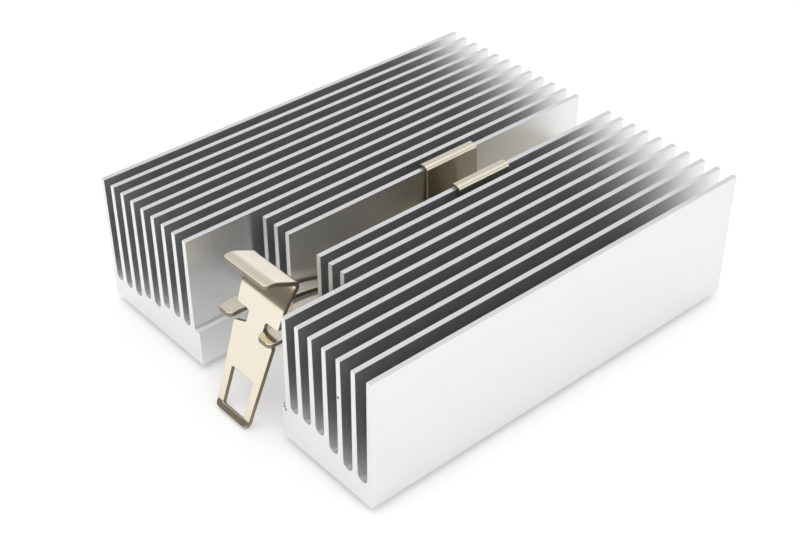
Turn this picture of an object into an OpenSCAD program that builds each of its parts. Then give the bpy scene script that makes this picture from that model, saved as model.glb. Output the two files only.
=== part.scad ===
// Extruded heat sink with a spring clip for a processor socket.
//
// Frame: millimetres, +Z up. The origin is the centre of the base's flat
// underside. X runs across the fins, and Y along them, away from the notch.
// Only the clip's two hooks reach below the underside.

/* [Extrusion] */
// Length of the extrusion, along the fins
sink_l = 80; // [72:1:110]
// Width of the extrusion, across the fins
sink_w = 69.206; // [66:0.002:80]
// Height from the underside to the fin tips
sink_h = 23.9; // [21:0.1:40]
// Width of the group of fins left of the clip channel
left_w = 33.46; // [31:0.02:36]
// Fin thickness at the tip
fin_tip = 0.9; // [0.6:0.05:1.1]
// Fin thickness at the root
fin_root = 1.15; // [0.8:0.05:1.4]
// Growth of each pitch right of the clip channel towards the right wall
right_growth = 0.066; // [0:0.001:0.08]
// Width of the clip channel
channel_w = 7; // [6.8:0.1:8]

/* [Base] */
// Base thickness under the outermost slots
base_thin = 3.9; // [3:0.1:4.5]
// Base thickness under the slots next to them
base_mid = 5; // [4.6:0.1:5.8]
// Base thickness under the middle slots and the clip channel
base_thick = 6.4; // [5.9:0.1:7.5]

/* [Notch] */
// Depth of the notch milled into the near end
notch_d = 13.5; // [12.5:0.1:17]
// Base left standing beside the last full fin on the left
left_ledge = 1.5; // [0.5:0.1:1.6]
// Base left standing beside the first full fin on the right
right_ledge = 1.2; // [0.5:0.1:1.6]

/* [Spring strip] */
// Thickness of the clip's spring steel
steel_t = 0.8; // [0.6:0.05:0.9]
// Width of the strip in the channel
strip_w = 6.4; // [6:0.1:6.6]
// Distance that the loose strip lies to the right of the channel's middle
strip_shift = 0.25; // [0:0.05:0.25]
// Height of the prongs' top over the channel floor
prong_rise = 8.2; // [7:0.1:10]
// Length of the prongs' level part
prong_l = 8.4; // [7:0.1:9]
// Width of one prong
prong_w = 3.35; // [2.6:0.05:3.5]
// Gap between the two prongs
fork_gap = 6.9; // [6.6:0.05:7.4]
// Width of the slot between the strip's two rails
rail_slot_w = 1.7; // [1.2:0.1:2.4]
// Distance that the slot reaches into the channel
rail_slot_in = 9; // [5:0.5:14]
// Length of the strip's flat seat on the channel floor
seat_l = 12.2; // [11.6:0.1:14]
// Distance of the seat's middle beyond the middle of the sink
seat_y = 8; // [6:0.1:10]
// Height of the far bend's top over the channel floor
far_rise = 6.4; // [5:0.1:7.5]
// Clearance between the far hook and the end of the sink
far_gap = 0.4; // [0.2:0.05:1]

/* [Hook windows] */
// Distance that both hooks reach below the underside
hook_reach = 1.3; // [0.3:0.1:2.2]
// Width of the window that catches a socket lug
window_w = 5.5; // [5:0.1:5.7]
// Height of the latch's window
latch_window_h = 6.8; // [6:0.1:7.2]
// Height of the far hook's window
far_window_h = 5; // [4.6:0.1:5.6]
// Width of the bar under each window
hook_bar = 1.1; // [1:0.1:1.6]
// Width of each hook at its window
hook_w = 8.2; // [8:0.1:9.4]

/* [Latch] */
// Distance of the latch's pivot from the near end of the sink
latch_in = 2.9; // [2.6:0.1:3.4]
// Distance that the loose latch hangs to the right of the strip's middle
latch_shift = 1.25; // [0:0.05:1.25]
// Length of the blade below the pivot
blade_down = 15.35; // [15:0.05:17]
// Length of the blade above the pivot
blade_up = 4.5; // [4:0.1:5.2]
// Width of the latch at its finger tab
latch_w = 10.8; // [10.4:0.1:12]
// Width of the neck between the blade's side notches
neck_w = 4.2; // [3.6:0.1:4.2]
// Room above the prongs in the side notches
notch_over = 1.45; // [1.1:0.05:1.8]
// Room for the prongs below the pivot in the side notches
notch_under = 1.6; // [1.6:0.05:2.2]
// Length of the riser between the blade and the fold
riser_l = 2.75; // [2:0.05:4]
// Length of the finger tab before its lip curls down
tab_l = 3.3; // [2.6:0.05:4.6]
// Backward lean of the riser from the blade
riser_turn = 18; // [14:0.5:24]
// Turn of the fold between the riser and the finger tab
fold_turn = 103.5; // [98:0.5:112]
// Turn of the finger tab's lip
curl_turn = 37; // [20:1:50]
// Outward turn of the foot from the blade
foot_turn = 20; // [10:1:28]

/* [Saddle] */
// Thickness of the saddle's sheet
saddle_t = 0.5; // [0.4:0.05:0.6]
// Length of the saddle along the channel
saddle_l = 11.5; // [10:0.1:11.6]
// Depth of the saddle's lips outside the two fins
lip_d = 1.5; // [1:0.1:2.5]
// Inward lean of the saddle's walls
saddle_lean = 3.5; // [1:0.1:4]

/* [Hidden] */
$fn = 48;

aluminium = [0.82, 0.83, 0.84];
nickel = [0.85, 0.81, 0.73];

// How far a cutter runs past the faces that it cuts
over = 1;
// Clearance between pieces that lie on each other
lie = 0.05;
// Largest turn of one flat in a bent sheet
bend_flat = 10;
// Heading of a sheet that runs straight up
upright = 90;

// Fins: counts on each side of the channel, and how many of them are short
left_fins = 12;
right_fins = 10;
left_short = 3;
right_short = 3;
// Slots over the thin and the middle base, counted from each outer wall
left_thin = 3;
left_mid = 2;
right_thin = 2;
right_mid = 1;

// Left face of each fin, from the left wall of the extrusion
left_pitch = (left_w - fin_tip) / (left_fins - 1);
left_fin = [for (i = [0:left_fins - 1]) i * left_pitch];
channel_x = left_w;
right_gaps = right_fins - 1;
right_pitch = (sink_w - left_w - channel_w - fin_tip) / right_gaps
    - right_growth * (right_gaps - 1) / 2;
right_fin = [for (i = [0:right_fins - 1])
    channel_x + channel_w + i * right_pitch + right_growth * i * (i - 1) / 2];
near_y = -sink_l / 2;
far_y = sink_l / 2;
channel_mid = channel_x + channel_w / 2 - sink_w / 2;

// Notch: its two sides, from the left wall of the extrusion
notch_x0 = left_fin[left_fins - left_short - 1] + fin_tip + left_ledge;
notch_x1 = right_fin[right_short] - right_ledge;
mouth_y = near_y + notch_d;

// Spring strip, on its middle plane in Y and Z
strip_x = channel_mid + strip_shift;
floor_z = base_thick + lie + steel_t / 2;
prong_z = base_thick + prong_rise - steel_t / 2;
far_z = base_thick + far_rise - steel_t / 2;
pivot_y = near_y + latch_in;
pivot_z = prong_z + steel_t / 2;
prong_tip = 1.9;
prong_y = pivot_y - prong_tip;
seat_y0 = seat_y - seat_l / 2;
seat_y1 = seat_y + seat_l / 2;
near_bends = 57;
far_bends = 34;
hook_bend = 1.6;
hook_flat = 1;
hook_y = far_y + far_gap + steel_t / 2;
far_flat_y = hook_y - hook_bend - hook_flat;
foot_bend = 1;
far_foot_l = 0.6;
fork_w = fork_gap + 2 * prong_w;
// Level prong kept beside the latch before the prongs close into rails
prong_keep = 2.2;

// Latch
latch_x = strip_x + latch_shift;
foot_l = 1.2;
riser_bend = 5;
fold_bend = 0.8;
curl_bend = 4;
// Rounding of the finger tab's two corners, and of each hook's
tab_corner = 1;
latch_corner = 1;

// Saddle: its clearance over the fin, and the inside radius of its folds
crown_gap = 0.12;
crown_inner = 0.3;

// Bent sheets -------------------------------------------------------------
// A run is a list of steps [straight length, turn, bend radius]. It starts at
// [y, z, heading] and follows the middle plane of the sheet. Its points carry
// the heading, so that each face of the sheet lies half a thickness to a side.

function stations(steps, at, i = 0) =
    i == len(steps) ? [] :
    let (s = steps[i], a = at[2], side = sign(s[1]),
         q = [at[0] + s[0] * cos(a), at[1] + s[0] * sin(a), a],
         c = [q[0] - side * s[2] * sin(a), q[1] + side * s[2] * cos(a)],
         n = ceil(abs(s[1]) / bend_flat),
         bend = n == 0 ? [] : [for (k = [1:n]) let (b = a + s[1] * k / n)
             [c[0] + side * s[2] * sin(b), c[1] - side * s[2] * cos(b), b]])
    concat(s[0] > 0 ? [q] : [], bend, stations(steps, n == 0 ? q : bend[n - 1], i + 1));

function run(steps, at) = concat([at], stations(steps, at));

function faces(points, t) = concat(
    [for (p = points) [p[0] - t / 2 * sin(p[2]), p[1] + t / 2 * cos(p[2])]],
    [for (k = [len(points) - 1:-1:0]) let (p = points[k])
        [p[0] + t / 2 * sin(p[2]), p[1] - t / 2 * cos(p[2])]]);

function last(points) = points[len(points) - 1];

// An S-bend between two level stretches: d along, h up, r both radii added
function ess_radii(d, h, most) = min(most, 0.4 * (d * d + h * h) / h);
function ess_straight(d, h, r) = sqrt(d * d + h * h - 2 * h * r);
function ess_turn(d, h, r) = atan2(h - r, d) + atan2(r, ess_straight(d, h, r));

// Stands a drawing in Y and Z up, and gives it its width along X
module across(width) {
    rotate([90, 0, 90]) translate([0, 0, -width / 2]) linear_extrude(width) children();
}

// Stands a drawing in X and Z up, and gives it its depth along Y
module along(y0, y1) {
    translate([0, y1, 0]) rotate([90, 0, 0]) linear_extrude(y1 - y0) children();
}

// A rectangle with rounded corners, from its lowest corner
module rounded(size, r) {
    translate([r, 0]) square([size[0] - 2 * r, size[1]]);
    translate([0, r]) square([size[0], size[1] - 2 * r]);
    for (x = [r, size[0] - r], y = [r, size[1] - r]) translate([x, y]) circle(r);
}

// The waste outside a corner rounded to r, with the corner at the origin and
// the piece in the quarter where both coordinates are negative
module corner_waste(r) {
    difference() {
        translate([-r, -r]) square(r + over);
        translate([-r, -r]) circle(r);
    }
}

// Heat sink -----------------------------------------------------------------

// One slot between two fins, from the left fin's left face: full round at its
// bottom, and wider towards the fin tips
module slot(pitch, bottom) {
    r = (pitch - fin_root) / 2;
    mid = (pitch + fin_tip) / 2;
    half_top = (pitch - fin_tip) / 2;
    translate([mid, bottom + r]) circle(r);
    polygon([[mid - r, bottom + r], [mid + r, bottom + r],
             [mid + half_top, sink_h], [mid + half_top, sink_h + over],
             [mid - half_top, sink_h + over], [mid - half_top, sink_h]]);
}

function slot_bottom(from_wall, thin, mid) =
    from_wall < thin ? base_thin : from_wall < thin + mid ? base_mid : base_thick;

module sink_section() {
    difference() {
        square([sink_w, sink_h]);
        for (i = [0:left_fins - 2])
            translate([left_fin[i], 0])
                slot(left_pitch, slot_bottom(i, left_thin, left_mid));
        for (i = [0:right_fins - 2])
            translate([right_fin[i], 0])
                slot(right_fin[i + 1] - right_fin[i],
                     slot_bottom(right_fins - 2 - i, right_thin, right_mid));
        translate([channel_x, base_thick]) square([channel_w, sink_h]);
    }
}

module heat_sink() {
    color(aluminium) translate([-sink_w / 2, 0, 0]) difference() {
        along(near_y, far_y) sink_section();
        translate([notch_x0, near_y - over, -over])
            cube([notch_x1 - notch_x0, notch_d + over, sink_h + 2 * over]);
    }
}

// Spring strip ----------------------------------------------------------------

near_d = seat_y0 - (prong_y + prong_l);
near_h = prong_z - floor_z;
near_r = ess_radii(near_d, near_h, near_bends);
far_d = far_flat_y - seat_y1;
far_h = far_z - floor_z;
far_r = ess_radii(far_d, far_h, far_bends);
near_turn = ess_turn(near_d, near_h, near_r);
far_turn = ess_turn(far_d, far_h, far_r);
far_foot_drop = foot_bend * sin(foot_turn) + far_foot_l * cos(foot_turn)
    + steel_t / 2 * sin(foot_turn);
far_leg = far_z - hook_bend - far_foot_drop + hook_reach;

strip_run = run([
    [prong_l, -near_turn, near_r / 2],
    [ess_straight(near_d, near_h, near_r), near_turn, near_r / 2],
    [seat_l, far_turn, far_r / 2],
    [ess_straight(far_d, far_h, far_r), -far_turn, far_r / 2],
    [hook_flat, -90, hook_bend],
    [far_leg, foot_turn, foot_bend],
    [far_foot_l, 0, 0]], [prong_y, prong_z, 0]);

// Half of the strip seen from above: prong, closing shoulder and rail
module half_plan() {
    keep_y = pivot_y + prong_keep;
    close_l = (fork_gap - rail_slot_w) / 2;
    slot_y = mouth_y + rail_slot_in;
    difference() {
        union() {
            translate([fork_gap / 2, prong_y]) square([prong_w, keep_y - prong_y]);
            polygon([[fork_gap / 2, keep_y], [fork_w / 2, keep_y],
                     [strip_w / 2, keep_y + (fork_w - strip_w) / 2],
                     [strip_w / 2, far_y], [0, far_y], [0, keep_y + close_l],
                     [rail_slot_w / 2, keep_y + close_l]]);
            translate([0, far_y - over]) square([strip_w / 2, over + far_gap / 2]);
            translate([0, far_y + far_gap / 2])
                square([hook_w / 2, far_gap + steel_t + foot_bend + hook_bar]);
        }
        translate([0, keep_y]) square([rail_slot_w / 2, slot_y - keep_y]);
        translate([0, slot_y]) circle(rail_slot_w / 2);
        for (x = [fork_gap / 2, fork_w / 2])
            translate([x, prong_y]) scale([x < fork_w / 2 ? -1 : 1, -1]) corner_waste(1);
    }
}

module strip_plan() {
    half_plan();
    mirror([1, 0]) half_plan();
}

module clip_spring() {
    color(nickel) translate([strip_x, 0, 0]) difference() {
        intersection() {
            across(fork_w + 2 * over) polygon(faces(strip_run, steel_t));
            translate([0, 0, -hook_reach - over])
                linear_extrude(hook_reach + pivot_z + 2 * over) strip_plan();
        }
        along(far_y + far_gap / 2, hook_y + hook_w)
            translate([-window_w / 2, hook_bar - hook_reach])
                rounded([window_w, far_window_h], 0.4);
        along(far_y + far_gap / 2, hook_y + hook_w)
            for (side = [1, -1]) scale([side, 1])
                translate([hook_w / 2, -hook_reach])
                    scale([1, -1]) corner_waste(latch_corner);
    }
}

// Latch -------------------------------------------------------------------------

blade_l = blade_down + blade_up;
foot_run = run([[foot_l, foot_turn, foot_bend]], [0, 0, upright - foot_turn]);
// The pivot, seen from the foot's end with the blade upright
pivot_up = [last(foot_run)[0], last(foot_run)[1] + blade_down];
latch_run = run([
    [foot_l, foot_turn, foot_bend],
    [blade_l, -riser_turn, riser_bend],
    [riser_l, fold_turn, fold_bend],
    [tab_l, curl_turn, curl_bend]], [-pivot_up[0], -pivot_up[1], upright - foot_turn]);

// The foot's lowest corner, seen from the pivot with the blade upright. The
// latch leans out until this corner stands level with the far hook's tip.
heel_out = pivot_up[0] - steel_t / 2 * cos(foot_turn);
heel_down = pivot_up[1] + steel_t / 2 * sin(foot_turn);
heel_reach = norm([heel_out, heel_down]);
latch_lean = acos(min(1, (pivot_z + hook_reach) / heel_reach)) - atan2(heel_out, heel_down);

// The blade's width falls evenly from the bend at its top to its foot
module blade_sides() {
    bottom = -pivot_up[1] - over;
    for (side = [1, -1]) scale([side, 1]) {
        polygon([[hook_w / 2, -blade_down], [hook_w / 2, bottom],
                 [latch_w, bottom], [latch_w, blade_up], [latch_w / 2, blade_up]]);
        translate([neck_w / 2, -notch_under]) rounded([latch_w, notch_over + notch_under], 0.5);
        translate([hook_w / 2, -pivot_up[1]]) scale([1, -1]) corner_waste(latch_corner);
    }
}

module hook_plate() {
    sheet = faces(latch_run, steel_t);
    lip_y = min([for (p = sheet) p[0]]);
    lip_z = last(latch_run)[1];
    window_z = -pivot_up[1] + hook_bar;
    color(nickel) translate([latch_x, pivot_y, pivot_z]) rotate([-latch_lean, 0, 0])
        difference() {
            across(latch_w) polygon(sheet);
            along(-2 * latch_w, 2 * latch_w) blade_sides();
            along(-latch_w, latch_w) translate([-window_w / 2, window_z])
                rounded([window_w, latch_window_h], 0.3);
            translate([0, 0, lip_z - steel_t - over]) linear_extrude(2 * (steel_t + over))
                for (side = [1, -1]) scale([side, 1])
                    translate([latch_w / 2, lip_y]) scale([1, -1]) corner_waste(tab_corner);
        }
}

// Saddle ------------------------------------------------------------------------

// The bent sheet, seen from its near end: the left lip up, over the left fin,
// down its channel face, across the web, and the same on the right
web_z = base_thick + lie + steel_t + lie + saddle_t / 2;
crown_z = sink_h + crown_gap + saddle_t / 2;
web_bend = 0.8;
crown_bend = saddle_t / 2 + crown_inner;
crown_flat = fin_tip + 2 * crown_gap - 2 * crown_inner;
wall_turn = 90 - saddle_lean;
// Middle of the fin beside the channel, seen from the channel's middle
fin_mid = (channel_w + fin_tip) / 2;
wall_l = (crown_z - web_z - crown_bend * (1 - sin(saddle_lean))
    - web_bend * (1 - sin(saddle_lean))) / cos(saddle_lean);
web_half = fin_mid - crown_flat / 2 - (crown_bend + web_bend) * cos(saddle_lean)
    - wall_l * sin(saddle_lean);

saddle_run = run([
    [lip_d, -90, crown_bend],
    [crown_flat, -wall_turn, crown_bend],
    [wall_l, wall_turn, web_bend],
    [2 * web_half, wall_turn, web_bend],
    [wall_l, -wall_turn, crown_bend],
    [crown_flat, -90, crown_bend],
    [lip_d, 0, 0]],
    [-fin_mid - crown_flat / 2 - crown_bend, crown_z - crown_bend - lip_d, 90]);

module saddle_clip() {
    y0 = seat_y - saddle_l / 2;
    color(nickel) translate([channel_mid, 0, 0])
        along(y0, y0 + saddle_l) polygon(faces(saddle_run, saddle_t));
}

heat_sink();
clip_spring();
hook_plate();
saddle_clip();
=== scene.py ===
"""Dresses and lights the extruded heat sink with its spring clip.

The aluminium extrusion keeps its CAD node and gets a mill finish. The three bent
sheets of the clip are built again as smooth blanks with rounded edges, bent along
the same runs as the solids. Lengths are millimetres until they reach a mesh.
"""

import logging
import math
from dataclasses import dataclass, field
from enum import Enum
from typing import Any, Mapping, Sequence

import bmesh
import bpy
from mathutils import Matrix, Vector


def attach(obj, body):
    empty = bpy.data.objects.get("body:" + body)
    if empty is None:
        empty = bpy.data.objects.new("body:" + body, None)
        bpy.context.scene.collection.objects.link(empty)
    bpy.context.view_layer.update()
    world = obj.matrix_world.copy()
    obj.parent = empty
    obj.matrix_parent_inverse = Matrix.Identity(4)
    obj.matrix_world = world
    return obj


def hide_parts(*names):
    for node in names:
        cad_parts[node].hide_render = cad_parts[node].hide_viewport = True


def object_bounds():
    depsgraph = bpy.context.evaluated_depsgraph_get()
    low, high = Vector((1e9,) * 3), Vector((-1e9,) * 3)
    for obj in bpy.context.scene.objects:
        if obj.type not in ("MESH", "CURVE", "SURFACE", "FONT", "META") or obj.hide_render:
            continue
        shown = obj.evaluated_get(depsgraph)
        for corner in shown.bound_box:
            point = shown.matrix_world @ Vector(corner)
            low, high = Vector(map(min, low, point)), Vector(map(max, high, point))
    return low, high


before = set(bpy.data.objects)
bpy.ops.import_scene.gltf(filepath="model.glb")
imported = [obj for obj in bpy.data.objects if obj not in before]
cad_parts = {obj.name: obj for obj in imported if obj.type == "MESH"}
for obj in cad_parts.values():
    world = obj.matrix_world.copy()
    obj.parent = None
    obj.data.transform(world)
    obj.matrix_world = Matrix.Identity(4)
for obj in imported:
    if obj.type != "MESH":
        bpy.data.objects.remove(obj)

LOG = logging.getLogger("heat_sink")
CAD_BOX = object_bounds()
MM = 0.001

Point = tuple[float, float]
Corner = tuple[float, float, float]
Colour = tuple[float, float, float, float]


# Helpers for shader trees ---------------------------------------------------


def linear(hex_colour: str) -> Colour:
    """Turns an sRGB hex colour into the linear colour that a shader needs.

    Args:
        hex_colour: Colour such as "#E4E6E8".

    Returns:
        Linear red, green and blue, and an alpha of 1.
    """
    channels = [int(hex_colour[i : i + 2], 16) / 255 for i in (1, 3, 5)]
    r, g, b = (
        c / 12.92 if c <= 0.04045 else ((c + 0.055) / 1.055) ** 2.4 for c in channels
    )
    return (r, g, b, 1.0)


def add_node(
    tree: bpy.types.NodeTree,
    kind: str,
    inputs: Mapping[str | int, Any] | None = None,
    **settings: Any,
) -> bpy.types.Node:
    """Adds a shader node with its settings, values and links.

    Args:
        tree: Node tree that gets the node.
        kind: Blender's name for the node type, without its ShaderNode prefix.
        inputs: Value or output socket for each named or numbered input.
        **settings: Properties of the node itself.

    Returns:
        The new node.
    """
    node = tree.nodes.new("ShaderNode" + kind)
    for name, value in settings.items():
        setattr(node, name, value)
    for key, value in (inputs or {}).items():
        if isinstance(value, bpy.types.NodeSocket):
            tree.links.new(value, node.inputs[key])
        else:
            node.inputs[key].default_value = value
    return node


def new_material(name: str) -> tuple[bpy.types.Material, bpy.types.NodeTree]:
    """Makes a material with an empty node tree.

    Args:
        name: Name of the material.

    Returns:
        The material and its node tree.
    """
    material = bpy.data.materials.new(name)
    material.use_nodes = True
    material.node_tree.nodes.clear()
    return material, material.node_tree


# Finishes ---------------------------------------------------------------------


@dataclass(frozen=True)
class ExtrudedAluminium:
    """Aluminium 6063 as it leaves the die, with milled and saw-cut ends.

    The die leaves long faint lines and a satin sheen that still mirrors the next
    fin. The cut ends are a little rougher, with fine lines from the saw's teeth,
    and the slots' bottoms, where the die drags most, are duller still.
    """

    colour: str = "#F4F5F6"
    cloud_colour: str = "#F1F2F3"
    cut_colour: str = "#F8F8F7"
    roughness: float = 0.34
    rough_spread: float = 0.05
    cut_roughness: float = 0.42
    slot_roughness: float = 0.6
    slot_top_mm: float = 12.0
    # Spacing of the die's lines. The real ones are finer, and are drawn this
    # coarse so that they show.
    die_line_mm: float = 0.5
    die_line_length_mm: float = 60.0
    saw_line_mm: float = 0.35
    saw_line_length_mm: float = 25.0
    cloud_mm: float = 14.0
    relief_mm: float = 0.0015
    # Least part of a normal along Y on a cut end, and upwards on a slot's bottom
    cut_facing: float = 0.9
    floor_facing: float = 0.1
    # A nick's dent is not modelled: a dark grey spot of painted shade stands in for the
    # shade in each nick and burr
    nick_mm: float = 0.32
    nick_core: float = 0.6
    nick_shade_colour: str = "#6B6A66"

    def material(self, nicks: Sequence[Vector]) -> bpy.types.Material:
        """Builds the finish.

        Args:
            nicks: Middle of each nick on the near end, in millimetres, where a spot of
                painted shade goes.

        Returns:
            The material.
        """
        material, tree = new_material("extruded_aluminium")
        place = add_node(tree, "TexCoord").outputs["Object"]
        shape = add_node(tree, "NewGeometry")
        across = 1 / (self.die_line_mm * MM)
        along = 1 / (self.die_line_length_mm * MM)
        stretched = add_node(
            tree,
            "VectorMath",
            {0: place, 1: (across, along, across)},
            operation="MULTIPLY",
        )
        lines = add_node(
            tree,
            "TexNoise",
            {"Vector": stretched.outputs[0], "Scale": 1.0, "Detail": 3.0},
        )
        sideways = 1 / (self.saw_line_length_mm * MM)
        toothed = add_node(
            tree,
            "VectorMath",
            {0: place, 1: (sideways, sideways, 1 / (self.saw_line_mm * MM))},
            operation="MULTIPLY",
        )
        teeth = add_node(
            tree,
            "TexNoise",
            {"Vector": toothed.outputs[0], "Scale": 1.0, "Detail": 2.0},
        )
        clouds = add_node(
            tree,
            "TexNoise",
            {"Vector": place, "Scale": 1 / (self.cloud_mm * MM), "Detail": 4.0},
        )
        facing = add_node(tree, "SeparateXYZ", {0: shape.outputs["True Normal"]})
        turned = add_node(
            tree, "Math", {0: facing.outputs["Y"]}, operation="ABSOLUTE"
        )
        is_cut = add_node(
            tree,
            "Math",
            {0: turned.outputs[0], 1: self.cut_facing},
            operation="GREATER_THAN",
        ).outputs[0]
        relief = add_node(
            tree,
            "Mix",
            {0: is_cut, 2: lines.outputs["Fac"], 3: teeth.outputs["Fac"]},
            data_type="FLOAT",
        ).outputs[0]
        skin = add_node(
            tree,
            "Mix",
            {
                0: clouds.outputs["Fac"],
                6: linear(self.colour),
                7: linear(self.cloud_colour),
            },
            data_type="RGBA",
        ).outputs[2]
        cut_skin = add_node(
            tree,
            "Mix",
            {0: is_cut, 6: skin, 7: linear(self.cut_colour)},
            data_type="RGBA",
        ).outputs[2]
        reach: bpy.types.NodeSocket | float = 1.0
        # Painted shade: a dark grey spot at each nick and burr, in place of the dent's own
        # shade
        for nick in nicks:
            away = add_node(
                tree,
                "VectorMath",
                {0: place, 1: tuple(nick * MM)},
                operation="DISTANCE",
            ).outputs["Value"]
            reach = add_node(
                tree, "Math", {0: reach, 1: away}, operation="MINIMUM"
            ).outputs[0]
        painted_nick_shade = add_node(
            tree,
            "MapRange",
            {
                "Value": reach,
                "From Min": self.nick_mm * MM * self.nick_core,
                "From Max": self.nick_mm * MM,
                "To Min": 1.0,
                "To Max": 0.0,
            },
        ).outputs[0]
        # Mixes the nicks' painted shade into the skin's colour
        colour = add_node(
            tree,
            "Mix",
            {0: painted_nick_shade, 6: cut_skin, 7: linear(self.nick_shade_colour)},
            data_type="RGBA",
        ).outputs[2]
        satin = add_node(
            tree,
            "MapRange",
            {
                "Value": lines.outputs["Fac"],
                "To Min": self.roughness - self.rough_spread / 2,
                "To Max": self.roughness + self.rough_spread / 2,
            },
        ).outputs[0]
        height = add_node(tree, "SeparateXYZ", {0: place}).outputs["Z"]
        is_low = add_node(
            tree,
            "Math",
            {0: height, 1: self.slot_top_mm * MM},
            operation="LESS_THAN",
        ).outputs[0]
        is_floor = add_node(
            tree,
            "Math",
            {0: facing.outputs["Z"], 1: self.floor_facing},
            operation="GREATER_THAN",
        ).outputs[0]
        in_slot = add_node(
            tree, "Math", {0: is_low, 1: is_floor}, operation="MULTIPLY"
        ).outputs[0]
        die_rough = add_node(
            tree,
            "Mix",
            {0: in_slot, 2: satin, 3: self.slot_roughness},
            data_type="FLOAT",
        ).outputs[0]
        rough = add_node(
            tree,
            "Mix",
            {0: is_cut, 2: die_rough, 3: self.cut_roughness},
            data_type="FLOAT",
        ).outputs[0]
        bump = add_node(
            tree,
            "Bump",
            {"Height": relief, "Distance": self.relief_mm * MM, "Strength": 1.0},
        )
        shader = add_node(
            tree,
            "BsdfPrincipled",
            {
                "Base Color": colour,
                "Metallic": 1.0,
                "Roughness": rough,
                "Normal": bump.outputs[0],
            },
        )
        add_node(tree, "OutputMaterial", {"Surface": shader.outputs[0]})
        return material


@dataclass(frozen=True)
class NickelPlate:
    """Rolled spring steel with bright nickel plate.

    The plate is warm and nearly a mirror. Rolling leaves it slightly uneven, so
    reflections waver, and handling has left faint scratches.
    """

    name: str = "bright_nickel_plate"
    colour: str = "#F5EDDC"
    dull_colour: str = "#EFE6D3"
    roughness: float = 0.17
    rough_spread: float = 0.12
    patch_mm: float = 5.0
    ripple_mm: float = 3.5
    ripple_depth_mm: float = 0.006
    scratch_mm: float = 0.25
    # How often a scratch changes along its own length, per metre
    scratch_changes: float = 90.0

    def material(self) -> bpy.types.Material:
        """Builds the finish and returns its material."""
        material, tree = new_material(self.name)
        place = add_node(tree, "TexCoord").outputs["Object"]
        patches = add_node(
            tree,
            "TexNoise",
            {"Vector": place, "Scale": 1 / (self.patch_mm * MM), "Detail": 5.0},
        ).outputs["Fac"]
        ripples = add_node(
            tree,
            "TexNoise",
            {"Vector": place, "Scale": 1 / (self.ripple_mm * MM), "Detail": 1.0},
        ).outputs["Fac"]
        across = 1 / (self.scratch_mm * MM)
        drawn = add_node(
            tree,
            "VectorMath",
            {
                0: place,
                1: (across, self.scratch_changes, self.scratch_changes),
            },
            operation="MULTIPLY",
        )
        scratches = add_node(
            tree,
            "TexNoise",
            {"Vector": drawn.outputs[0], "Scale": 1.0, "Detail": 2.0},
        ).outputs["Fac"]
        colour = add_node(
            tree,
            "Mix",
            {0: patches, 6: linear(self.colour), 7: linear(self.dull_colour)},
            data_type="RGBA",
        ).outputs[2]
        wear = add_node(
            tree, "Math", {0: patches, 1: scratches}, operation="MULTIPLY"
        ).outputs[0]
        rough = add_node(
            tree,
            "MapRange",
            {
                "Value": wear,
                "From Max": 0.5,
                "To Min": self.roughness - self.rough_spread / 2,
                "To Max": self.roughness + self.rough_spread / 2,
            },
        ).outputs[0]
        bump = add_node(
            tree,
            "Bump",
            {"Height": ripples, "Distance": self.ripple_depth_mm * MM},
        )
        shader = add_node(
            tree,
            "BsdfPrincipled",
            {
                "Base Color": colour,
                "Metallic": 1.0,
                "Roughness": rough,
                "Normal": bump.outputs[0],
            },
        )
        add_node(tree, "OutputMaterial", {"Surface": shader.outputs[0]})
        return material


# Bent sheet -----------------------------------------------------------------------


class Zone(Enum):
    """The two kinds of surface on a blanked sheet, by material index."""

    FACE = 0
    CUT_EDGE = 1


@dataclass(frozen=True)
class Station:
    """A place on a sheet's middle plane, with its heading from +Y towards +Z."""

    y: float
    z: float
    heading: float

    def lift(self, height: float) -> Point:
        """Returns Y and Z of the point that lies height off the middle plane."""
        a = math.radians(self.heading)
        return (self.y - height * math.sin(a), self.z + height * math.cos(a))


@dataclass(frozen=True)
class Step:
    """A straight length of sheet, and the bend that follows it."""

    length: float
    turn: float = 0.0
    radius: float = 0.0

    @property
    def arc(self) -> float:
        """Length of the bend on the middle plane."""
        return abs(math.radians(self.turn)) * self.radius


@dataclass(frozen=True)
class Run:
    """The side view of a bent sheet: a start and the steps from there."""

    start: Station
    steps: tuple[Step, ...]

    def at(self, s: float) -> Station:
        """Finds a place on the run.

        Args:
            s: Distance along the middle plane from the start.

        Returns:
            The station there. Beyond the last step the sheet goes straight on.
        """
        y, z, heading = self.start.y, self.start.z, self.start.heading
        left = s
        for index, step in enumerate(self.steps):
            last = index == len(self.steps) - 1
            straight = left if last and not step.turn else min(left, step.length)
            a = math.radians(heading)
            y, z = y + straight * math.cos(a), z + straight * math.sin(a)
            left -= straight
            if left <= 0 or not step.turn:
                continue
            bent = min(left, step.arc)
            side = math.copysign(1.0, step.turn)
            b = a + side * bent / step.radius
            y += side * step.radius * (math.sin(b) - math.sin(a))
            z -= side * step.radius * (math.cos(b) - math.cos(a))
            heading = math.degrees(b)
            left -= bent
        return Station(y, z, heading)

    @property
    def length(self) -> float:
        """Whole length of the middle plane."""
        return sum(step.length + step.arc for step in self.steps)

    def start_of(self, index: int) -> float:
        """Distance at which a step's straight length starts."""
        return sum(step.length + step.arc for step in self.steps[:index])

    def folds(self, degrees: float) -> list[float]:
        """Lists the lines that a blank is split along before it is bent.

        Args:
            degrees: Largest turn between two neighbouring lines.

        Returns:
            Distances along the run, from each bend's start to its end.
        """
        lines = []
        for index, step in enumerate(self.steps):
            if not step.turn:
                continue
            first = self.start_of(index) + step.length
            count = max(2, math.ceil(abs(step.turn) / degrees))
            lines += [first + step.arc * k / count for k in range(count + 1)]
        return lines


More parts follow.
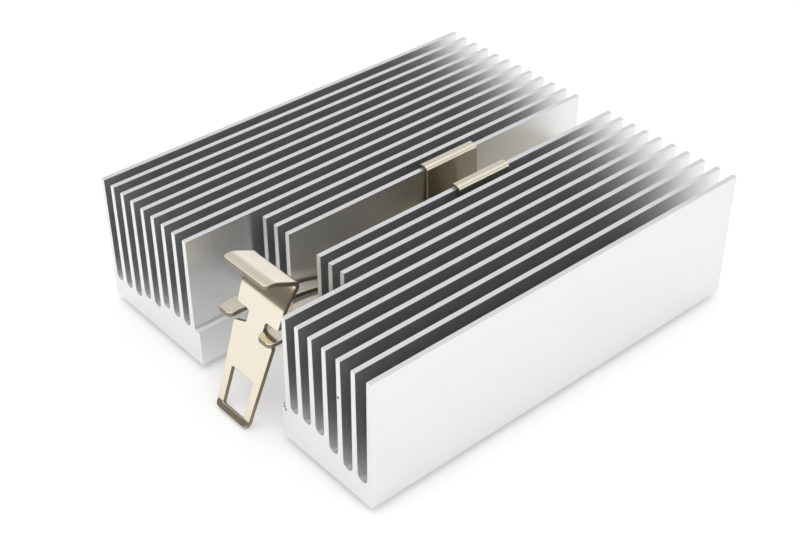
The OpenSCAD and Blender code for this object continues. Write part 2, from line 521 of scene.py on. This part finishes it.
def rounded_loop(corners: Sequence[Corner], parts: int = 6) -> list[Point]:
    """Rounds the corners of a closed outline.

    Args:
        corners: X, distance along the sheet and radius of each corner, in order.
        parts: Straight parts in each rounded corner.

    Returns:
        The points of the outline.
    """
    points: list[Point] = []
    for i, (x, s, radius) in enumerate(corners):
        here = Vector((x, s))
        if radius <= 0:
            points.append((x, s))
            continue
        back = (Vector(corners[i - 1][:2]) - here).normalized()
        ahead = (Vector(corners[(i + 1) % len(corners)][:2]) - here).normalized()
        half = back.angle(ahead) / 2
        middle = here + (back + ahead).normalized() * radius / math.sin(half)
        first = here + back * radius / math.tan(half) - middle
        sweep = first.angle_signed(here + ahead * radius / math.tan(half) - middle)
        for k in range(parts + 1):
            # angle_signed counts clockwise as positive
            spoke = first.copy()
            spoke.rotate(Matrix.Rotation(-sweep * k / parts, 2))
            points.append(tuple(middle + spoke))
    return points


def mirrored(half: Sequence[Corner]) -> list[Corner]:
    """Closes a half outline that starts and ends on the line of symmetry."""
    return list(half) + [(-x, s, r) for x, s, r in reversed(half)]


@dataclass(frozen=True)
class Sheet:
    """A blank cut from sheet metal and then bent along a run."""

    name: str
    run: Run
    thickness: float
    loops: tuple[tuple[Point, ...], ...]
    edge: float = 0.1
    fold_step: float = 4.0
    # Least upward part of a normal on a face's own level, and on a face with its
    # broken edge
    level: float = 0.99
    upward: float = 0.6

    def blank(self) -> bmesh.types.BMesh:
        """Cuts the flat blank and returns it, in millimetres.

        X is across the sheet, Y along its run, and Z off its middle plane.
        """
        outline = bpy.data.curves.new(self.name + "_outline", "CURVE")
        outline.dimensions = "2D"
        outline.fill_mode = "BOTH"
        outline.extrude = self.thickness / 2 - self.edge
        outline.bevel_depth = self.edge
        outline.bevel_resolution = 1
        outline.offset = -self.edge
        for loop in self.loops:
            spline = outline.splines.new("POLY")
            spline.points.add(len(loop) - 1)
            for point, (x, s) in zip(spline.points, loop):
                point.co = (x, s, 0.0, 1.0)
            spline.use_cyclic_u = True
        helper = bpy.data.objects.new(self.name + "_outline", outline)
        bpy.context.scene.collection.objects.link(helper)
        bpy.context.view_layer.update()
        graph = bpy.context.evaluated_depsgraph_get()
        flat = bpy.data.meshes.new_from_object(helper.evaluated_get(graph))
        sheet = bmesh.new()
        sheet.from_mesh(flat)
        bpy.data.objects.remove(helper)
        bpy.data.curves.remove(outline)
        bpy.data.meshes.remove(flat)
        bmesh.ops.remove_doubles(sheet, verts=sheet.verts, dist=0.002)
        return sheet

    def build(
        self, place: Matrix, face: bpy.types.Material, cut: bpy.types.Material
    ) -> bpy.types.Object:
        """Bends the blank and dresses it.

        Args:
            place: Where the run's own Y and Z stand in the row frame.
            face: Material of the sheet's two faces.
            cut: Material of its blanked edges.

        Returns:
            The object, in metres, with its place in its mesh.
        """
        sheet = self.blank()
        for polygon in sheet.faces:
            flat = abs(polygon.normal.z) > self.upward
            polygon.material_index = (Zone.FACE if flat else Zone.CUT_EDGE).value
        for s in self.run.folds(self.fold_step):
            bmesh.ops.bisect_plane(
                sheet,
                geom=sheet.verts[:] + sheet.edges[:] + sheet.faces[:],
                dist=0.001,
                plane_co=(0, s, 0),
                plane_no=(0, 1, 0),
            )
        # The faces shade apart from their broken edges, so that they stay even
        for line in sheet.edges:
            lying = [abs(side.normal.z) > self.level for side in line.link_faces]
            line.smooth = all(lying) or not any(lying)
        for vertex in sheet.verts:
            x, s, height = vertex.co
            vertex.co = place @ Vector((x, *self.run.at(s).lift(height))) * MM
        bmesh.ops.recalc_face_normals(sheet, faces=sheet.faces)
        mesh = bpy.data.meshes.new(self.name)
        sheet.to_mesh(mesh)
        sheet.free()
        mesh.materials.append(face)
        mesh.materials.append(cut)
        mesh.shade_smooth()
        piece = bpy.data.objects.new(self.name, mesh)
        bpy.context.scene.collection.objects.link(piece)
        smooth = piece.modifiers.new("even_faces", "WEIGHTED_NORMAL")
        smooth.mode = "FACE_AREA"
        smooth.weight = 60
        smooth.keep_sharp = True
        return piece


# The object's pieces ----------------------------------------------------------------


@dataclass(frozen=True)
class ClipChannel:
    """What the clip's pieces have in common: the channel that holds them."""

    middle: float = 2.357
    width: float = 7.0
    floor: float = 6.4
    sheet: float = 0.8
    lie: float = 0.05
    near: float = -40.0
    far: float = 40.0
    mouth: float = -26.5
    fin_top: float = 23.9
    fin: float = 0.9
    seat: float = 8.0
    hook_reach: float = 1.3


@dataclass
class HeatSink:
    """The extrusion, which keeps the CAD's shape."""

    finish: ExtrudedAluminium = field(default_factory=ExtrudedAluminium)
    channel: ClipChannel = field(default_factory=ClipChannel)
    # Rounding of the fins' top edges, and the share of it on the other edges
    crown: float = 0.25
    broken: float = 0.25
    # Smallest angle of an edge that is rounded, and how near the top counts as top
    rounded_from: float = 50.0
    top_slack: float = 0.01
    # Nick on the third fin from the right, and two burrs on the base by the notch, each
    # drawn only as a spot of painted shade
    nicks: tuple[Vector, ...] = (
        Vector((27.35, -40.0, 16.9)),
        Vector((14.0, -40.0, 6.2)),
        Vector((14.3, -40.0, 5.75)),
    )

    def build(self) -> bpy.types.Object:
        """Dresses the extrusion's CAD node and returns it."""
        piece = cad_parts["heat_sink"]
        for place in piece.material_slots:
            place.material = self.finish.material(self.nicks)
        self.round_edges(piece)
        LOG.info("heat_sink: dressed the CAD node")
        return piece

    def round_edges(self, piece: bpy.types.Object) -> None:
        """Rounds the fins' top edges, and breaks the others a little.

        Args:
            piece: The extrusion's CAD node.
        """
        mesh = piece.data
        weights = mesh.attributes.new("bevel_weight_edge", "FLOAT", "EDGE")
        top = (self.channel.fin_top - self.top_slack) * MM
        least = math.radians(self.rounded_from)
        form = bmesh.new()
        form.from_mesh(mesh)
        for edge in form.edges:
            if not edge.is_manifold or edge.calc_face_angle() < least:
                continue
            ends = [v.co for v in edge.verts]
            along = abs(ends[0].y - ends[1].y) > abs(ends[0].x - ends[1].x)
            crown = along and min(end.z for end in ends) > top
            weights.data[edge.index].value = 1.0 if crown else self.broken
        form.free()
        mesh.shade_smooth()
        bevel = piece.modifiers.new("edge_rounding", "BEVEL")
        bevel.limit_method = "WEIGHT"
        bevel.width = self.crown * MM
        bevel.segments = 3
        bevel.use_clamp_overlap = False
        smooth = piece.modifiers.new("even_faces", "WEIGHTED_NORMAL")
        smooth.mode = "FACE_AREA"
        smooth.weight = 80


@dataclass
class ClipSpring:
    """The strip in the channel, with two prongs and a far hook."""

    channel: ClipChannel = field(default_factory=ClipChannel)
    shift: float = 0.25
    width: float = 6.4
    prong_top: float = 14.6
    prong_y: float = -39.0
    prong_length: float = 8.4
    prong_width: float = 3.35
    fork_gap: float = 6.9
    fork_keep: float = 4.1
    slot: float = 1.7
    slot_in: float = 9.0
    seat: float = 12.2
    near_bends: float = 57.0
    far_bends: float = 34.0
    far_top: float = 12.8
    far_gap: float = 0.4
    hook_bend: float = 1.6
    hook_flat: float = 1.0
    hook_width: float = 8.2
    hook_bar: float = 1.1
    window: Point = (5.5, 5.0)
    foot_turn: float = 20.0
    foot_bend: float = 1.0
    foot: float = 0.6
    # The hook widens this far past the place where its bend clears the far face
    widen_after: float = 0.6
    face_room: float = 0.3

    @staticmethod
    def ess(along: float, up: float, bends: float) -> Point:
        """Solves an S-bend between two level stretches.

        Args:
            along: Distance between the two stretches.
            up: Height between them.
            bends: Both bends' radii, added.

        Returns:
            Length of the straight between the bends, and their turn in degrees.
        """
        straight = math.sqrt(along**2 + up**2 - 2 * up * bends)
        turn = math.atan2(up - bends, along) + math.atan2(bends, straight)
        return straight, math.degrees(turn)

    def run(self) -> Run:
        """Works out the strip's side view."""
        c = self.channel
        half = c.sheet / 2
        floor = c.floor + c.lie + half
        seat_y0, seat_y1 = c.seat - self.seat / 2, c.seat + self.seat / 2
        flat_y = c.far + self.far_gap + half - self.hook_bend - self.hook_flat
        near, near_turn = self.ess(
            seat_y0 - self.prong_y - self.prong_length,
            self.prong_top - half - floor,
            self.near_bends,
        )
        far, far_turn = self.ess(
            flat_y - seat_y1, self.far_top - half - floor, self.far_bends
        )
        a = math.radians(self.foot_turn)
        foot_drop = (self.foot_bend + half) * math.sin(a) + self.foot * math.cos(a)
        leg = self.far_top - half - self.hook_bend - foot_drop + c.hook_reach
        return Run(
            Station(self.prong_y, self.prong_top - half, 0.0),
            (
                Step(self.prong_length, -near_turn, self.near_bends / 2),
                Step(near, near_turn, self.near_bends / 2),
                Step(self.seat, far_turn, self.far_bends / 2),
                Step(far, -far_turn, self.far_bends / 2),
                Step(self.hook_flat, -90.0, self.hook_bend),
                Step(leg, self.foot_turn, self.foot_bend),
                Step(self.foot),
            ),
        )

    def outline(self, run: Run) -> list[Point]:
        """Draws the blank's outline, with the fork and the slot in one loop."""
        half, slot = self.width / 2, self.slot / 2
        inner, outer = self.fork_gap / 2, self.fork_gap / 2 + self.prong_width
        keep = self.fork_keep
        slot_end = self.slot_reach(run)
        # The hook widens once its bend has cleared the far face
        room = self.far_gap + self.channel.sheet / 2 + self.face_room
        swept = self.hook_bend * math.asin(room / 2 / self.hook_bend)
        wide = run.start_of(4) + self.hook_flat + swept + self.widen_after
        return rounded_loop(
            mirrored(
                [
                    (slot, slot_end, slot * 0.98),
                    (slot, keep + inner - slot, 0.8),
                    (inner, keep, 0.8),
                    (inner, 0.0, 1.0),
                    (outer, 0.0, 1.0),
                    (outer, keep, 1.2),
                    (half, keep + outer - half, 1.2),
                    (half, wide, 0.2),
                    (self.hook_width / 2, wide, 0.5),
                    (self.hook_width / 2, run.length, 1.0),
                ]
            )
        )

    def slot_reach(self, run: Run) -> float:
        """Finds the slot's closed end, as a distance along the run."""
        goal = self.channel.mouth + self.slot_in + self.slot / 2
        s = 0.0
        while run.at(s).y < goal:
            s += 0.05
        return s

    def far_window(self, run: Run) -> list[Point]:
        """Draws the window in the far hook."""
        width, height = self.window
        leg = run.start_of(5)
        bottom = run.at(leg).z + self.channel.hook_reach - self.hook_bar
        x0, x1, s0, s1 = -width / 2, width / 2, leg + bottom - height, leg + bottom
        return rounded_loop(
            [(x0, s0, 0.4), (x1, s0, 0.4), (x1, s1, 0.4), (x0, s1, 0.4)]
        )

    def build(
        self, face: bpy.types.Material, cut: bpy.types.Material
    ) -> bpy.types.Object:
        """Builds the strip and returns it."""
        run = self.run()
        sheet = Sheet(
            "spring_strip",
            run,
            self.channel.sheet,
            (tuple(self.outline(run)), tuple(self.far_window(run))),
        )
        x = self.channel.middle + self.shift
        piece = sheet.build(Matrix.Translation((x, 0, 0)), face, cut)
        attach(piece, "sink")
        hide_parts("clip_spring")
        LOG.info("%s: %.1f mm of strip", piece.name, run.length)
        return piece


@dataclass
class HookPlate:
    """The latch: foot, blade with window and notches, riser and finger tab."""

    channel: ClipChannel = field(default_factory=ClipChannel)
    shift: float = 1.5
    pivot: Point = (-37.1, 14.59)
    down: float = 15.35
    up: float = 4.5
    width: float = 10.8
    hook_width: float = 8.2
    neck: float = 4.2
    notch_over: float = 1.45
    notch_under: float = 1.6
    # Slope of the shoulders up to the neck, clear of the prongs at both stops
    shoulder_rise: float = 1.0
    window: Point = (5.5, 6.8)
    bar: float = 1.1
    foot: float = 1.2
    foot_turn: float = 20.0
    foot_bend: float = 1.0
    riser: float = 2.75
    riser_turn: float = 18.0
    riser_bend: float = 5.0
    fold_turn: float = 103.5
    fold_bend: float = 0.8
    tab: float = 3.3
    curl_turn: float = 37.0
    curl_bend: float = 4.0
    foot_corner: float = 1.0
    tab_corner: float = 1.0

    def run(self) -> tuple[Run, float]:
        """Works out the side view, upright and with the pivot at the origin.

        Returns:
            The run from the foot to the tab's lip, and how far the whole plate
            leans out until its heel stands on the table.
        """
        steps = (
            Step(self.foot, self.foot_turn, self.foot_bend),
            Step(self.down + self.up, -self.riser_turn, self.riser_bend),
            Step(self.riser, self.fold_turn, self.fold_bend),
            Step(self.tab, self.curl_turn, self.curl_bend),
        )
        heading = 90.0 - self.foot_turn
        bend = Run(Station(0.0, 0.0, heading), steps).at(steps[0].length + steps[0].arc)
        out, high = bend.y, bend.z + self.down
        half, a = self.channel.sheet / 2, math.radians(heading)
        heel = Vector((out - half * math.sin(a), high + half * math.cos(a)))
        stands = (self.pivot[1] + self.channel.hook_reach) / heel.length
        lean = math.acos(min(1.0, stands)) - math.atan2(heel.x, heel.y)
        return Run(Station(-out, -high, heading), steps), lean

    def outline(self, run: Run) -> list[Point]:
        """Draws the blank's outline, with its two side notches."""
        low = run.start_of(1)
        pivot, top = low + self.down, low + self.down + self.up
        foot, tab, neck = self.hook_width / 2, self.width / 2, self.neck / 2

        def side(s: float) -> float:
            """Half the blade's width at a distance along the run."""
            return foot + (tab - foot) * (s - low) / (top - low)

        under, over = pivot - self.notch_under, pivot + self.notch_over
        return rounded_loop(
            mirrored(
                [
                    (foot, 0.0, self.foot_corner),
                    (foot, low, 0.0),
                    (side(under), under, 0.5),
                    (neck, under + self.shoulder_rise, 0.4),
                    (neck, over, 0.5),
                    (side(over), over, 0.4),
                    (tab, top, 0.0),
                    (tab, run.length, self.tab_corner),
                ]
            )
        )

    def opening(self, run: Run) -> list[Point]:
        """Draws the window over the bar."""
        width, height = self.window
        low = run.start_of(1)
        bottom = low + self.bar - (run.at(low).z - run.at(0.0).z)
        x0, x1, s0, s1 = -width / 2, width / 2, bottom, bottom + height
        return rounded_loop(
            [(x0, s0, 0.3), (x1, s0, 0.3), (x1, s1, 0.3), (x0, s1, 0.3)]
        )

    def build(
        self, face: bpy.types.Material, cut: bpy.types.Material
    ) -> bpy.types.Object:
        """Builds the latch and returns it."""
        run, lean = self.run()
        sheet = Sheet(
            "latch_plate",
            run,
            self.channel.sheet,
            (tuple(self.outline(run)), tuple(self.opening(run))),
        )
        x = self.channel.middle + self.shift
        place = Matrix.Translation((x, *self.pivot)) @ Matrix.Rotation(-lean, 4, "X")
        piece = sheet.build(place, face, cut)
        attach(piece, "latch")
        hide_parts("hook_plate")
        LOG.info("%s: leans out %.1f degrees", piece.name, math.degrees(lean))
        return piece


@dataclass
class SaddleClip:
    """The U-shaped sheet that holds the strip down and folds over two fins."""

    channel: ClipChannel = field(default_factory=ClipChannel)
    sheet: float = 0.5
    length: float = 11.5
    lip: float = 1.5
    lean: float = 3.5
    crown_gap: float = 0.12
    crown_inner: float = 0.3
    web_bend: float = 0.8

    def run(self) -> Run:
        """Works out the sheet's end view, from lip to lip across the channel."""
        c = self.channel
        web = c.floor + c.lie + c.sheet + c.lie + self.sheet / 2
        crown = c.fin_top + self.crown_gap + self.sheet / 2
        bend = self.sheet / 2 + self.crown_inner
        flat = c.fin + 2 * self.crown_gap - 2 * self.crown_inner
        a = math.radians(self.lean)
        turn = 90.0 - self.lean
        fin = (c.width + c.fin) / 2
        wall = (crown - web - (bend + self.web_bend) * (1 - math.sin(a))) / math.cos(a)
        half = (
            fin - flat / 2 - (bend + self.web_bend) * math.cos(a) - wall * math.sin(a)
        )
        return Run(
            Station(-fin - flat / 2 - bend, crown - bend - self.lip, 90.0),
            (
                Step(self.lip, -90.0, bend),
                Step(flat, -turn, bend),
                Step(wall, turn, self.web_bend),
                Step(2 * half, turn, self.web_bend),
                Step(wall, -turn, bend),
                Step(flat, -90.0, bend),
                Step(self.lip),
            ),
        )

    def build(
        self, face: bpy.types.Material, cut: bpy.types.Material
    ) -> bpy.types.Object:
        """Builds the saddle clip and returns it."""
        run = self.run()
        x0, x1 = -self.length / 2, self.length / 2
        corners = [(x0, 0.0), (x1, 0.0), (x1, run.length), (x0, run.length)]
        loop = rounded_loop([(x, s, 0.6) for x, s in corners])
        sheet = Sheet("saddle_sheet", run, self.sheet, (tuple(loop),), edge=0.07)
        # The run's Y lies along the row's X here, and the sheet's width along Y
        turned = Matrix(((0, 1, 0, 0), (-1, 0, 0, 0), (0, 0, 1, 0), (0, 0, 0, 1)))
        place = Matrix.Translation((self.channel.middle, self.channel.seat, 0)) @ turned
        piece = sheet.build(place, face, cut)
        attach(piece, "sink")
        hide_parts("saddle_clip")
        LOG.info("%s: %.1f mm long", piece.name, self.length)
        return piece


# Studio -------------------------------------------------------------------------------


@dataclass
class Studio:
    """The pale table, the soft light and the camera."""

    table_size: float = 6.0
    table_colour: str = "#ECECEC"
    table_fleck: str = "#F0F0F0"
    fleck_scale: float = 900.0
    table_glow: float = 0.31
    mirror_glow: float = 0.22
    camera_at: Vector = field(
        default_factory=lambda: Vector((0.14781, -0.13407, 0.15318))
    )
    azimuth: float = 48.708
    elevation: float = 36.518
    roll: float = 0.076
    lens_mm: float = 64.215
    room_bright: str = "#FFFFFF"
    room_dark: str = "#837D76"
    room_light: float = 1.0
    # Parts of a direction along Y and Z between which the room changes
    room_back: Point = (-0.55, 0.15)
    room_wall: Point = (0.1, 0.5)
    room_ceiling: Point = (0.62, 0.82)
    high_light: float = 0.64
    softbox_watts: float = 7.0
    softbox_at: Vector = field(default_factory=lambda: Vector((0.1, -0.5, 1.0)))
    softbox_size: Point = (1.6, 1.2)

    def table(self) -> None:
        """Lays the table under the object.

        Its glow shows to the camera and in the metal. It adds no light to the
        table itself, so the narrow shadow under the edges stays.
        """
        bpy.ops.mesh.primitive_plane_add(
            size=self.table_size, location=(0, 0, CAD_BOX[0][2])
        )
        table = bpy.context.object
        table.name = "table"
        material, tree = new_material("white_table")
        path = add_node(tree, "LightPath").outputs
        grain = add_node(
            tree, "TexNoise", {"Scale": self.fleck_scale, "Detail": 2.0}
        ).outputs["Fac"]
        tone = add_node(
            tree,
            "Mix",
            {0: grain, 6: linear(self.table_colour), 7: linear(self.table_fleck)},
            data_type="RGBA",
        ).outputs[2]
        in_metal = add_node(
            tree,
            "Math",
            {0: path["Is Glossy Ray"], 1: path["Is Transmission Ray"]},
            operation="MAXIMUM",
        )
        mirrored = add_node(
            tree,
            "Math",
            {0: in_metal.outputs[0], 1: self.mirror_glow},
            operation="MULTIPLY",
        )
        seen = add_node(
            tree,
            "Math",
            {0: path["Is Camera Ray"], 1: self.table_glow, 2: mirrored.outputs[0]},
            operation="MULTIPLY_ADD",
        )
        straight = add_node(
            tree, "Math", {0: path["Diffuse Depth"], 1: 0.5}, operation="LESS_THAN"
        )
        glow = add_node(
            tree,
            "Math",
            {0: seen.outputs[0], 1: straight.outputs[0]},
            operation="MULTIPLY",
        )
        paper = add_node(tree, "BsdfDiffuse", {"Color": tone})
        light = add_node(
            tree, "Emission", {"Color": (1, 1, 1, 1), "Strength": glow.outputs[0]}
        )
        lit = add_node(
            tree, "AddShader", {0: paper.outputs[0], 1: light.outputs[0]}
        )
        add_node(tree, "OutputMaterial", {"Surface": lit.outputs[0]})
        table.data.materials.append(material)

    def room(self) -> None:
        """Makes the room: a bright back and ceiling, darker walls, dark in front."""
        world = bpy.data.worlds.new("room")
        world.use_nodes = True
        bpy.context.scene.world = world
        tree = world.node_tree
        tree.nodes.clear()
        way = add_node(tree, "TexCoord").outputs["Generated"]
        parts = add_node(tree, "SeparateXYZ", {0: way})
        back = add_node(
            tree,
            "MapRange",
            {
                "Value": parts.outputs["Y"],
                "From Min": self.room_back[0],
                "From Max": self.room_back[1],
            },
            interpolation_type="SMOOTHSTEP",
        )
        room = add_node(
            tree,
            "Mix",
            {
                0: back.outputs[0],
                6: linear(self.room_dark),
                7: linear(self.room_bright),
            },
            data_type="RGBA",
        ).outputs[2]
        path = add_node(tree, "LightPath").outputs
        height = add_node(
            tree,
            "MapRange",
            {
                "Value": parts.outputs["Z"],
                "From Min": self.room_wall[0],
                "From Max": self.room_wall[1],
                "To Min": self.room_light,
                "To Max": self.high_light,
            },
            interpolation_type="SMOOTHSTEP",
        )
        overhead = add_node(
            tree,
            "MapRange",
            {
                "Value": parts.outputs["Z"],
                "From Min": self.room_ceiling[0],
                "From Max": self.room_ceiling[1],
            },
            interpolation_type="SMOOTHSTEP",
        )
        strength = add_node(
            tree,
            "Mix",
            {0: overhead.outputs[0], 2: height.outputs[0], 3: self.room_light},
            data_type="FLOAT",
        ).outputs[0]
        inside = add_node(
            tree, "Background", {"Color": room, "Strength": strength}
        )
        shown = add_node(
            tree, "Background", {"Color": (1, 1, 1, 1), "Strength": 1.0}
        )
        mixed = add_node(
            tree,
            "MixShader",
            {0: path["Is Camera Ray"], 1: inside.outputs[0], 2: shown.outputs[0]},
        )
        add_node(tree, "OutputWorld", {"Surface": mixed.outputs[0]})

    def lamps(self) -> None:
        """Hangs one large softbox over the front of the table."""
        light = bpy.data.lights.new("softbox", "AREA")
        light.shape = "RECTANGLE"
        light.size, light.size_y = self.softbox_size
        light.energy = self.softbox_watts
        lamp = bpy.data.objects.new("softbox", light)
        lamp.location = self.softbox_at
        lamp.rotation_euler = (-self.softbox_at).to_track_quat("-Z", "Y").to_euler()
        bpy.context.scene.collection.objects.link(lamp)

    def camera(self) -> None:
        """Sets the camera."""
        data = bpy.data.cameras.new("camera")
        data.sensor_width = 36.0
        data.lens = self.lens_mm
        data.clip_start = 0.01
        camera = bpy.data.objects.new("camera", data)
        camera.location = self.camera_at
        turn = Matrix.Rotation(math.radians(self.azimuth), 4, "Z")
        tilt = Matrix.Rotation(math.radians(90 - self.elevation), 4, "X")
        roll = Matrix.Rotation(math.radians(self.roll), 4, "Z")
        camera.matrix_world = Matrix.Translation(self.camera_at) @ turn @ tilt @ roll
        bpy.context.scene.collection.objects.link(camera)
        bpy.context.scene.camera = camera

    def build(self) -> None:
        """Sets up the whole studio."""
        self.table()
        self.room()
        self.lamps()
        self.camera()
        bpy.context.scene.view_settings.view_transform = "Standard"


def main() -> None:
    """Builds and reports every piece in order."""
    logging.basicConfig(level=logging.INFO, format="%(name)s: %(message)s")
    face = NickelPlate().material()
    cut = NickelPlate(
        name="sheared_edge",
        colour="#A89C88",
        dull_colour="#8C806C",
        roughness=0.38,
    ).material()
    HeatSink().build()
    for part in (ClipSpring(), HookPlate(), SaddleClip()):
        part.build(face, cut)
    Studio().build()


if __name__ == "__main__":
    main()
